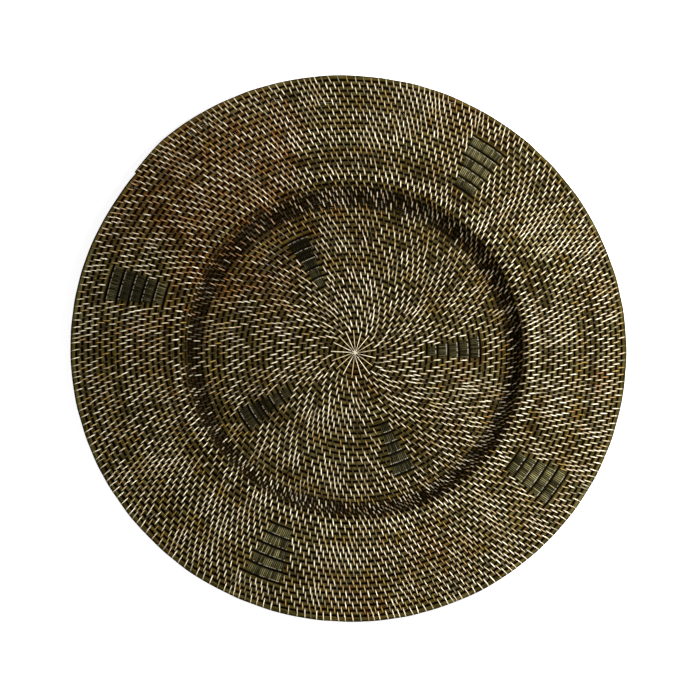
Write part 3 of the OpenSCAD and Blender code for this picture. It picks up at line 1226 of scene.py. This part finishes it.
@dataclass
class CoreCane:
    """The round cane of the coil, in the lengths that are spliced end to end, in millimetres."""

    coil: Coil
    tree: Tree
    finish: bpy.types.Material
    sides: int = 10
    ring_gap: float = 2.0
    fewest_rings: int = 40
    splice_gap: float = 0.1
    wear_share: float = 0.40
    height_share: float = 1.10
    closeness: float = 1.01
    widest: float = 1.80
    thickness: HandWork = field(default_factory=lambda: HandWork(13, 0.012, 10.0, 70.0))

    def length(self, node: str, first: float, last: float) -> bpy.types.Object:
        """Makes one length of cane.

        Args:
            node: The source's node that this length stands for.
            first: Turn at which it starts.
            last: Turn at which it ends.

        Returns:
            The finished piece.
        """
        coil = self.coil
        n = self._stations(first, last)
        run = coil.run(n)
        slim = coil.slimness(n) * self.height_share * (1 + self.thickness.at(run))
        # The cane fills its row. Where it thins out it stays on the side of the row before it.
        before, after = coil.room(n)
        wide = np.minimum((before + after) / 4 * self.closeness, self.widest) * coil.slimness(n)
        aside = (after - before) / 4 - before / 2 * (1 - coil.slimness(n))
        middle = coil.line(n) + coil.across(n) * aside[:, None]
        values = {
            "run": run * MM,
            "slim": slim,
            "upward": coil.upward(n),
            "outward": coil.across(n),
            "widen": np.maximum(wide - slim * coil.core_r, 0.0) * MM,
        }
        sizes = {
            "Cane radius": coil.core_r * MM,
            "Sides": self.sides,
            "Wear height": coil.floor_z * MM,
            "Wear share": self.wear_share,
            "Finish": self.finish,
        }
        piece = self.tree.build("coil_" + node, seed_mesh(node, middle * MM, True, values), sizes)
        return hand_over(piece, [node])

    def _stations(self, first: float, last: float) -> np.ndarray:
        """Gives the places along the cane at which it gets a ring of points.

        Args:
            first: Turn at which the length starts.
            last: Turn at which it ends.

        Returns:
            The turns.
        """
        gap = self.coil.turns_of(self.splice_gap, first)
        turns = [first + (gap if first > 0 else 0.0)]
        while turns[-1] < last:
            step = self.coil.turns_of(self.ring_gap, turns[-1])
            turns.append(turns[-1] + min(step, 1 / self.fewest_rings))
        turns[-1] = last
        return np.array(turns)


@dataclass
class Bar:
    """The stretch of coil under one wound bar, in turns."""

    first: float
    last: float


@dataclass
class Motif:
    """A motif of stepped bars, each wound close round two rows."""

    coil: Coil
    node: str
    after: float
    direction: float
    narrow: int
    wide: int
    bars: int = 5
    bar_rows: int = 2
    wrap_step: float = 1.04
    skew_share: float = 0.3
    lean_chance: float = 2.2
    widths: Pair = (0.80, 1.0)
    tone_evenness: float = 3.6
    hues: Pair = (0.1, 0.9)
    lift_chance: float = 0.05

    def wraps(self) -> list[np.ndarray]:
        """Lays out the wraps.

        Returns:
            The turns of the wraps, bar by bar.
        """
        made = []
        start = self.coil.next_pass(self.after, self.direction)
        for b in range(self.bars):
            near = start + self.bar_rows * b
            step = self.wrap_step / (2 * math.pi * self.coil.reach(near))
            count = round(self.narrow + (self.wide - self.narrow) * b / (self.bars - 1))
            first = near - step * (self.narrow / 2 + (count - self.narrow) * self.skew_share)
            made.append(first + (np.arange(count) + 0.5) * step)
        return made

    def covered(self) -> list[Bar]:
        """Gives the stretch of coil that each bar covers."""
        return [Bar(float(w[0]), float(w[-1])) for w in self.wraps()]


@dataclass
class Sewing:
    """The plan of every stitch: each one goes between two stitches of the row before it."""

    coil: Coil
    motifs: Sequence[Motif]
    rays: int = 17
    first_row: int = 4
    first_count: int = 34
    step: float = 3.95
    add_at: float = 0.5
    add_chance: float = 0.35
    least_gap_share: float = 0.9
    added_shares: Pair = (0.26, 0.74)
    seed: int = 31
    shake: float = 0.10
    lean: float = 13.0
    lean_chance: float = 3.0
    widths: Pair = (0.86, 1.12)
    strip_reach: tuple[int, int] = (18, 120)
    strip_tones: Pair = (2.2, 1.9)
    stitch_tones: Pair = (2.0, 1.6)
    strip_share: float = 0.5
    bar_margin: float = 1.15

    def __post_init__(self) -> None:
        """Works the stitches out in the order in which they are sewn."""
        rng = np.random.default_rng(self.seed)
        turns = self._sewn(rng)
        # One stitch between each two rays goes round the last row that they bind and the next
        between = self.first_row - 1 + (np.arange(self.rays) + 0.5) / self.rays
        self.turns = np.concatenate([between, turns])
        count = len(self.turns)
        self.shifts = rng.normal(0.0, self.shake, count)
        self.leans = rng.normal(self.lean, self.lean_chance, count)
        self.width = rng.uniform(*self.widths, count)
        self.hue = rng.uniform(0.0, 1.0, count)
        self.tone = self._tones(rng, count)
        self.shown = self._clear_of_motifs()

    def _sewn(self, rng: np.random.Generator) -> list[float]:
        """Sews row on row, with two stitches for one where the gap has grown.

        Args:
            rng: The chance that decides where a stitch is added.

        Returns:
            The turns of the stitches.
        """
        coil = self.coil
        turns = [self.first_row + (j + 0.5) / self.first_count for j in range(self.first_count + 1)]
        owed, i = 0.0, 0
        while True:
            a, b = turns[i], turns[i + 1]
            middle = (a + b) / 2 + 1
            if middle >= coil.turns - 1:
                return turns
            radius = coil.profile(np.array([coil.start_r + coil.pitch * (middle + 0.5)]))[0, 0]
            gap = (b - a) * 2 * math.pi * radius
            owed += gap / self.step - 1
            due = self.add_at + rng.uniform(-self.add_chance, self.add_chance)
            if owed > due and gap > self.step * self.least_gap_share:
                turns += [a + 1 + (b - a) * share for share in self.added_shares]
                owed -= 1
            else:
                turns.append(middle)
            i += 1

    def _tones(self, rng: np.random.Generator, count: int) -> np.ndarray:
        """Gives each stitch a tone: one for each strip that is sewn in, and a share of its own.

        Args:
            rng: The chance that the tones are drawn from.
            count: Number of stitches.

        Returns:
            The tones, 0 to 1.
        """
        tones = np.zeros(count)
        i = 0
        while i < count:
            run = int(rng.integers(*self.strip_reach))
            tones[i : i + run] = rng.beta(*self.strip_tones)
            i += run
        own = rng.beta(*self.stitch_tones, count)
        return np.clip(self.strip_share * tones + (1 - self.strip_share) * own, 0.0, 1.0)

    def _clear_of_motifs(self) -> np.ndarray:
        """Tells which stitches stay: those whose two rows aren't under a wound bar.

        Returns:
            True for each stitch that stays.
        """
        keep = np.ones(len(self.turns), bool)
        for motif in self.motifs:
            for bar in motif.covered():
                margin = self.coil.turns_of(self.bar_margin, bar.first)
                for rows in (-1, 0, 1):
                    low, high = bar.first + rows - margin, bar.last + rows + margin
                    keep &= ~((self.turns > low) & (self.turns < high))
        return keep


@dataclass
class Loops:
    """Loops of strip before they are made: where each one goes, and its own small chances.

    Inner and outer are the middles of the two rows, in millimetres. The lean is in degrees off
    the radius, the width a share of the usual one, and the lift in millimetres.
    """

    inner: np.ndarray
    outer: np.ndarray
    lean: np.ndarray
    width: np.ndarray
    tone: np.ndarray
    hue: np.ndarray
    lift: np.ndarray | float = 0.0


@dataclass
class StripWork:
    """Loops of split cane round two rows: the sewing and the wound bars, in millimetres."""

    coil: Coil
    tree: Tree
    pale: bpy.types.Material
    dark: bpy.types.Material
    strip_w: float = 1.0
    strip_t: float = 0.3
    loop_r: float = 1.53
    corners: int = 12
    sides: int = 5
    wear_share: float = 0.40

    def make(
        self, name: str, loops: Loops, finish: bpy.types.Material, distance: float
    ) -> bpy.types.Object:
        """Makes one piece of loops, each round an inner and an outer point.

        Args:
            name: Name of the piece.
            loops: The loops.
            finish: The material.
            distance: Row distance that the loop is drawn at, in millimetres.

        Returns:
            The piece, not yet handed over.
        """
        line = loops.outer - loops.inner
        gap = np.linalg.norm(line, axis=1)
        ahead = line / gap[:, None]
        level, up = face_normal(line)
        turn = np.radians(loops.lean)[:, None]
        spread = gap / np.cos(np.radians(loops.lean))
        long = (spread + 2 * self.loop_r) / (distance + 2 * self.loop_r)
        lift = np.broadcast_to(loops.lift, gap.shape)
        middle = (loops.inner + loops.outer) / 2 + up * lift[:, None]
        values = {
            "upward": up,
            "across": ahead * np.cos(turn) + level * np.sin(turn),
            "size": np.stack([long, loops.width, np.ones(len(gap))], axis=1),
            "tone": loops.tone,
            "hue": loops.hue,
        }
        sizes = {
            "Row distance": distance * MM,
            "Loop radius": self.loop_r * MM,
            "Strip width": self.strip_w * MM,
            "Strip thickness": self.strip_t * MM,
            "Corners": self.corners,
            "Sides": self.sides,
            "Wear height": self.coil.floor_z * MM,
            "Wear share": self.wear_share,
            "Finish": finish,
        }
        return self.tree.build(name, seed_mesh(name, middle * MM, False, values), sizes)

    def stitches(
        self, name: str, sewing: Sewing, low: float, high: float, nodes: list[str]
    ) -> bpy.types.Object:
        """Makes the stitches between two turns of the coil.

        Args:
            name: Name of the piece.
            sewing: The plan.
            low: First turn.
            high: Last turn.
            nodes: The source's nodes that the piece stands for.

        Returns:
            The finished piece.
        """
        coil = self.coil
        chosen = (sewing.turns >= low) & (sewing.turns < high) & sewing.shown
        n = sewing.turns[chosen]
        n = np.minimum(n + coil.turns_of(sewing.shifts[chosen], n), coil.turns - 1)
        thinned = (1 - coil.slimness(n + 1)) * coil.room(n + 1)[0]
        loops = Loops(
            inner=coil.line(n),
            outer=coil.line(n + 1) - coil.outward(n + 1) * thinned[:, None],
            lean=sewing.leans[chosen],
            width=sewing.width[chosen],
            tone=sewing.tone[chosen],
            hue=sewing.hue[chosen],
        )
        return hand_over(self.make(name, loops, self.pale, coil.pitch), nodes)

    def motif(self, motif: Motif, seed: int) -> bpy.types.Object:
        """Makes the wound bars of a motif.

        Args:
            motif: The motif.
            seed: Seed of its small chances.

        Returns:
            The finished piece.
        """
        rng = np.random.default_rng(seed)
        n = np.concatenate(motif.wraps())
        count = len(n)
        loops = Loops(
            inner=self.coil.line(n),
            outer=self.coil.line(n + 1),
            lean=rng.normal(0.0, motif.lean_chance, count),
            width=rng.uniform(*motif.widths, count),
            tone=rng.beta(motif.tone_evenness, motif.tone_evenness, count),
            hue=rng.uniform(*motif.hues, count),
            lift=rng.normal(0.0, motif.lift_chance, count),
        )
        piece = self.make("wound_" + motif.node, loops, self.dark, self.coil.pitch)
        return hand_over(piece, [motif.node])


@dataclass
class CentreWork:
    """The long stitches from the middle over the first rows, and the small knot that holds them."""

    work: StripWork
    finish: bpy.types.Material
    ray_count: int = 17
    ray_rows: int = 4
    ray_start: float = 2.3
    ray_width: float = 0.72
    ray_lean: float = 1.5
    ray_lean_chance: float = 1.2
    ray_tones: Pair = (0.42, 0.74)
    ray_hues: Pair = (0.3, 0.95)
    ray_seed: int = 41
    knot_strips: int = 4
    knot_reach: float = 1.5
    knot_turn: float = 0.3
    knot_width: float = 0.6
    knot_tones: Pair = (0.8, 1.0)
    knot_hues: Pair = (0.3, 0.7)
    knot_lift: float = 0.22
    knot_rise: float = 0.1
    knot_seed: int = 43

    def rays(self) -> bpy.types.Object:
        """Makes the rays.

        Returns:
            The finished piece.
        """
        coil, count = self.work.coil, self.ray_count
        rng = np.random.default_rng(self.ray_seed)
        outer = coil.line(self.ray_rows - 1 + np.arange(count) / count)
        middle = np.array([*coil.star, coil.floor_z])
        aim = outer - middle
        aim /= np.linalg.norm(aim, axis=1)[:, None]
        inner = middle + aim * self.ray_start
        inner[:, 2] = outer[:, 2]
        loops = Loops(
            inner=inner,
            outer=outer,
            lean=rng.normal(self.ray_lean, self.ray_lean_chance, count),
            width=np.full(count, self.ray_width),
            tone=rng.uniform(*self.ray_tones, count),
            hue=rng.uniform(*self.ray_hues, count),
        )
        distance = float(np.linalg.norm(outer - inner, axis=1).mean())
        piece = self.work.make("ray_stitches", loops, self.finish, distance)
        return hand_over(piece, ["centre_rays"])

    def knot(self) -> bpy.types.Object:
        """Makes the knot of crossed strips.

        Returns:
            The finished piece.
        """
        coil, count = self.work.coil, self.knot_strips
        rng = np.random.default_rng(self.knot_seed)
        turn = np.arange(count) * math.pi / count + self.knot_turn
        aim = np.stack([np.cos(turn), np.sin(turn), np.zeros(count)], axis=1)
        middle = np.array([*coil.star, coil.floor_z])
        loops = Loops(
            inner=middle - aim * self.knot_reach,
            outer=middle + aim * self.knot_reach,
            lean=np.zeros(count),
            width=np.full(count, self.knot_width),
            tone=rng.uniform(*self.knot_tones, count),
            hue=rng.uniform(*self.knot_hues, count),
            lift=self.knot_lift + np.arange(count) * self.knot_rise,
        )
        piece = self.work.make("start_knot_strips", loops, self.finish, 2 * self.knot_reach)
        return hand_over(piece, ["start_knot"])


def hand_over(piece: bpy.types.Object, nodes: list[str]) -> bpy.types.Object:
    """Puts a finished piece on the plate's body and says what it stands for.

    Args:
        piece: The piece.
        nodes: The source's nodes that it replaces, if any.

    Returns:
        The same piece.
    """
    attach(piece, "root")
    if nodes:
        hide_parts(*nodes)
    piece.data.calc_loop_triangles()
    triangles = len(piece.data.loop_triangles)
    log.info("%s: %d triangles, stands for %s", piece.name, triangles, nodes or "no node")
    return piece


@dataclass
class Studio:
    """Pale floor, soft light and the camera at the photograph's angle.

    The scale is in pixels of the picture for a millimetre. The plate stands off the middle of
    the picture by off_x and off_y, in pixels, and the tilts are the slopes of the view off the
    plate's axis. The sensor is in millimetres, other lengths are in metres.
    """

    coil: Coil
    floor_half: float = 3.0
    floor_tone: float = 0.86
    floor_roughness: float = 0.9
    floor_specular: float = 0.1
    floor_glow: float = 0.92
    under_r: float = 0.115
    picture: float = 700.0
    distance: float = 1.5
    scale: float = 1.6943
    tilt_x: float = -0.0472
    tilt_y: float = -0.2287
    off_x: float = 4.9
    off_y: float = 3.4
    sensor: float = 36.0
    nearest: float = 0.05
    furthest: float = 20.0
    world_light: float = 0.02
    key_power: float = 7.8
    key_size: float = 0.2
    key_at: Triple = (0.32, 0.05, 0.53)
    fill_power: float = 3.0
    fill_size: float = 1.2
    fill_at: Triple = (0.1, -0.9, 1.1)

    def floor(self) -> bpy.types.Object:
        """Makes the white floor. The camera sees it a little brighter than it lights the plate.

        Returns:
            The floor.
        """
        h = self.floor_half
        mesh = bpy.data.meshes.new("floor")
        mesh.from_pydata([(-h, -h, 0.0), (h, -h, 0.0), (h, h, 0.0), (-h, h, 0.0)], [], [(0, 1, 2, 3)])
        plane = bpy.data.objects.new("floor", mesh)
        bpy.context.scene.collection.objects.link(plane)
        dress = Dressing("white_floor")
        dress.feed(dress.shader.inputs["Base Color"], (*[self.floor_tone] * 3, 1.0))
        dress.feed(dress.shader.inputs["Roughness"], self.floor_roughness)
        dress.feed(dress.shader.inputs["Specular IOR Level"], self.floor_specular)
        glow = dress.add("ShaderNodeEmission", {"Color": WHITE, "Strength": self.floor_glow})
        seen = dress.add("ShaderNodeLightPath", {}).outputs["Is Camera Ray"]
        # None of it right under the plate, where it would shine through between the rows
        place = dress.add("ShaderNodeTexCoord", {}).outputs["Object"]
        beside = dress.maths("GREATER_THAN", dress.measure("LENGTH", place), self.under_r)
        nothing = dress.add("ShaderNodeEmission", {"Strength": 0.0})
        share = dress.times(seen, beside)
        choice = dress.add("ShaderNodeMixShader", {0: share, 1: nothing.outputs[0], 2: glow.outputs[0]})
        both = dress.add("ShaderNodeAddShader", {0: dress.shader.outputs[0], 1: choice.outputs[0]})
        dress.feed(dress.group.nodes["Material Output"].inputs["Surface"], both.outputs[0])
        mesh.materials.append(dress.material)
        return plane

    def lamp(self, name: str, at: Triple, power: float, size: float) -> bpy.types.Object:
        """Makes a square soft lamp aimed at the plate.

        Args:
            name: Name of the lamp.
            at: Its place, in metres.
            power: Its power, in watts.
            size: Its side, in metres.

        Returns:
            The lamp.
        """
        data = bpy.data.lights.new(name, "AREA")
        data.shape, data.size, data.energy = "SQUARE", size, power
        lamp = bpy.data.objects.new(name, data)
        lamp.location = at
        lamp.rotation_euler = (-Vector(at)).to_track_quat("-Z", "Y").to_euler()
        bpy.context.scene.collection.objects.link(lamp)
        return lamp

    def camera(self) -> bpy.types.Object:
        """Makes the camera as it stood over the plate in the photograph.

        Returns:
            The camera.
        """
        back = Vector((self.tilt_x, self.tilt_y, 1.0)).normalized()
        data = bpy.data.cameras.new("camera")
        camera = bpy.data.objects.new("camera", data)
        up = (Vector((0.0, 1.0, 0.0)) - back * back.y).normalized()
        right = up.cross(back)
        camera.rotation_mode = "QUATERNION"
        camera.rotation_quaternion = Matrix((right, up, back)).transposed().to_quaternion()
        px = MM / self.scale
        aim = Vector((self.coil.star[0] * MM, self.coil.star[1] * MM, self.coil.floor_z * MM))
        aim += (up * self.off_y - right * self.off_x) * px
        camera.location = aim + back * self.distance
        data.sensor_width = self.sensor
        data.lens = self.scale * self.distance / MM * self.sensor / self.picture
        data.clip_start, data.clip_end = self.nearest, self.furthest
        bpy.context.scene.collection.objects.link(camera)
        bpy.context.scene.camera = camera
        return camera

    def world(self) -> None:
        """Makes the white surroundings, which light the plate far less than the camera sees them."""
        world = bpy.data.worlds.new("studio")
        world.use_nodes = True
        tree = NodeWork(world.node_tree)
        back = tree.group.nodes["Background"]
        tree.feed(back.inputs["Color"], WHITE)
        tree.feed(back.inputs["Strength"], self.world_light)
        seen = tree.add("ShaderNodeLightPath", {}).outputs["Is Camera Ray"]
        white = tree.add("ShaderNodeBackground", {"Color": WHITE, "Strength": 1.0})
        choice = tree.add("ShaderNodeMixShader", {0: seen, 1: back.outputs[0], 2: white.outputs[0]})
        tree.feed(tree.group.nodes["World Output"].inputs["Surface"], choice.outputs[0])
        bpy.context.scene.world = world

    def build(self) -> None:
        """Sets the whole studio up."""
        bpy.context.scene.view_settings.view_transform = "Standard"
        self.camera()
        self.floor()
        self.world()
        self.lamp("key_lamp", self.key_at, self.key_power, self.key_size)
        self.lamp("fill_lamp", self.fill_at, self.fill_power, self.fill_size)
        log.info("studio: floor, two lamps and the camera")


@dataclass
class Plate:
    """The whole charger plate, put together from its pieces.

    Each length of cane is named with the turn at which it starts, and each run of stitches with
    its first turn and the source's node that it stands for, if any.
    """

    coil: Coil = field(default_factory=Coil)
    rim_directions: tuple[float, ...] = (55.0, 165.0, 249.0, 324.0)
    well_directions: tuple[float, ...] = (1.0, 115.0, 211.0, 291.0)
    rim_motif_turn: float = 36.42
    well_motif_turn: float = 13.05
    rim_wraps: tuple[int, int] = (12, 20)
    well_wraps: tuple[int, int] = (5, 12)
    motif_seed: int = 60
    edge_rows: int = 2
    canes: tuple[tuple[str, float], ...] = (
        ("well_cane_1", 0.0),
        ("well_cane_2", 14.0),
        ("well_cane_3", 22.0),
        ("wall_cane", 28.0),
        ("rim_cane_1", 33.0),
        ("rim_cane_2", 37.0),
        ("rim_cane_3", 41.0),
        ("rim_cane_4", 45.0),
        ("rim_cane_5", 48.0),
    )
    seams: tuple[tuple[str, float, str], ...] = (
        ("start_stitches", 3.0, "start_stitching"),
        ("well_stitches_1", 5.0, ""),
        ("well_stitches_2", 14.0, ""),
        ("foot_stitches", 24.0, "foot_stitching"),
        ("wall_stitches", 25.0, ""),
        ("lip_stitches", 33.0, "lip_stitching"),
        ("rim_stitches_1", 34.0, ""),
        ("rim_stitches_2", 38.0, ""),
        ("rim_stitches_3", 42.0, ""),
        ("rim_stitches_4", 46.0, ""),
    )

    def motifs(self) -> list[Motif]:
        """Lays out the motifs.

        Returns:
            The eight motifs, the rim's first.
        """
        made = []
        for place, after, directions, wraps in (
            ("rim", self.rim_motif_turn, self.rim_directions, self.rim_wraps),
            ("well", self.well_motif_turn, self.well_directions, self.well_wraps),
        ):
            for number, direction in enumerate(directions, 1):
                made.append(Motif(self.coil, f"{place}_motif_{number}", after, direction, *wraps))
        return made

    def build(self) -> None:
        """Makes and dresses every piece."""
        coil, kit = self.coil, FinishKit(self.coil)
        canes = CoreCane(coil, cane_tree(), CaneFinish().make(kit))
        ends = [first for _, first in self.canes[1:]] + [coil.turns]
        for (node, first), last in zip(self.canes, ends):
            canes.length(node, first, last)
        motifs = self.motifs()
        work = StripWork(coil, loop_tree(), PALE_STRIP.make(kit), DARK_STRIP.make(kit))
        for seed, motif in enumerate(motifs, self.motif_seed):
            work.motif(motif, seed)
        sewing = Sewing(coil, motifs)
        edge = coil.turns - self.edge_rows
        seams = [*self.seams, ("edge_stitches", edge, "edge_stitching")]
        highs = [low for _, low, _ in seams[1:]] + [coil.turns]
        for (name, low, node), high in zip(seams, highs):
            work.stitches(name, sewing, low, high, [node] if node else [])
        centre = CentreWork(work, RAY_STRIP.make(kit))
        centre.rays()
        centre.knot()
        hidden = int((~sewing.shown).sum())
        log.info("plate: %d stitches, %d of them left out under the bars", len(sewing.turns), hidden)
        log.info("plate: %.1f m of core cane", float(coil.run(np.array([coil.turns]))[0]) * MM)


def main() -> None:
    """Builds the plate and its studio."""
    logging.basicConfig(level=logging.INFO, format="%(name)s: %(message)s", stream=sys.stdout)
    coil = Coil()
    Plate(coil).build()
    Studio(coil).build()


if __name__ == "__main__":
    main()
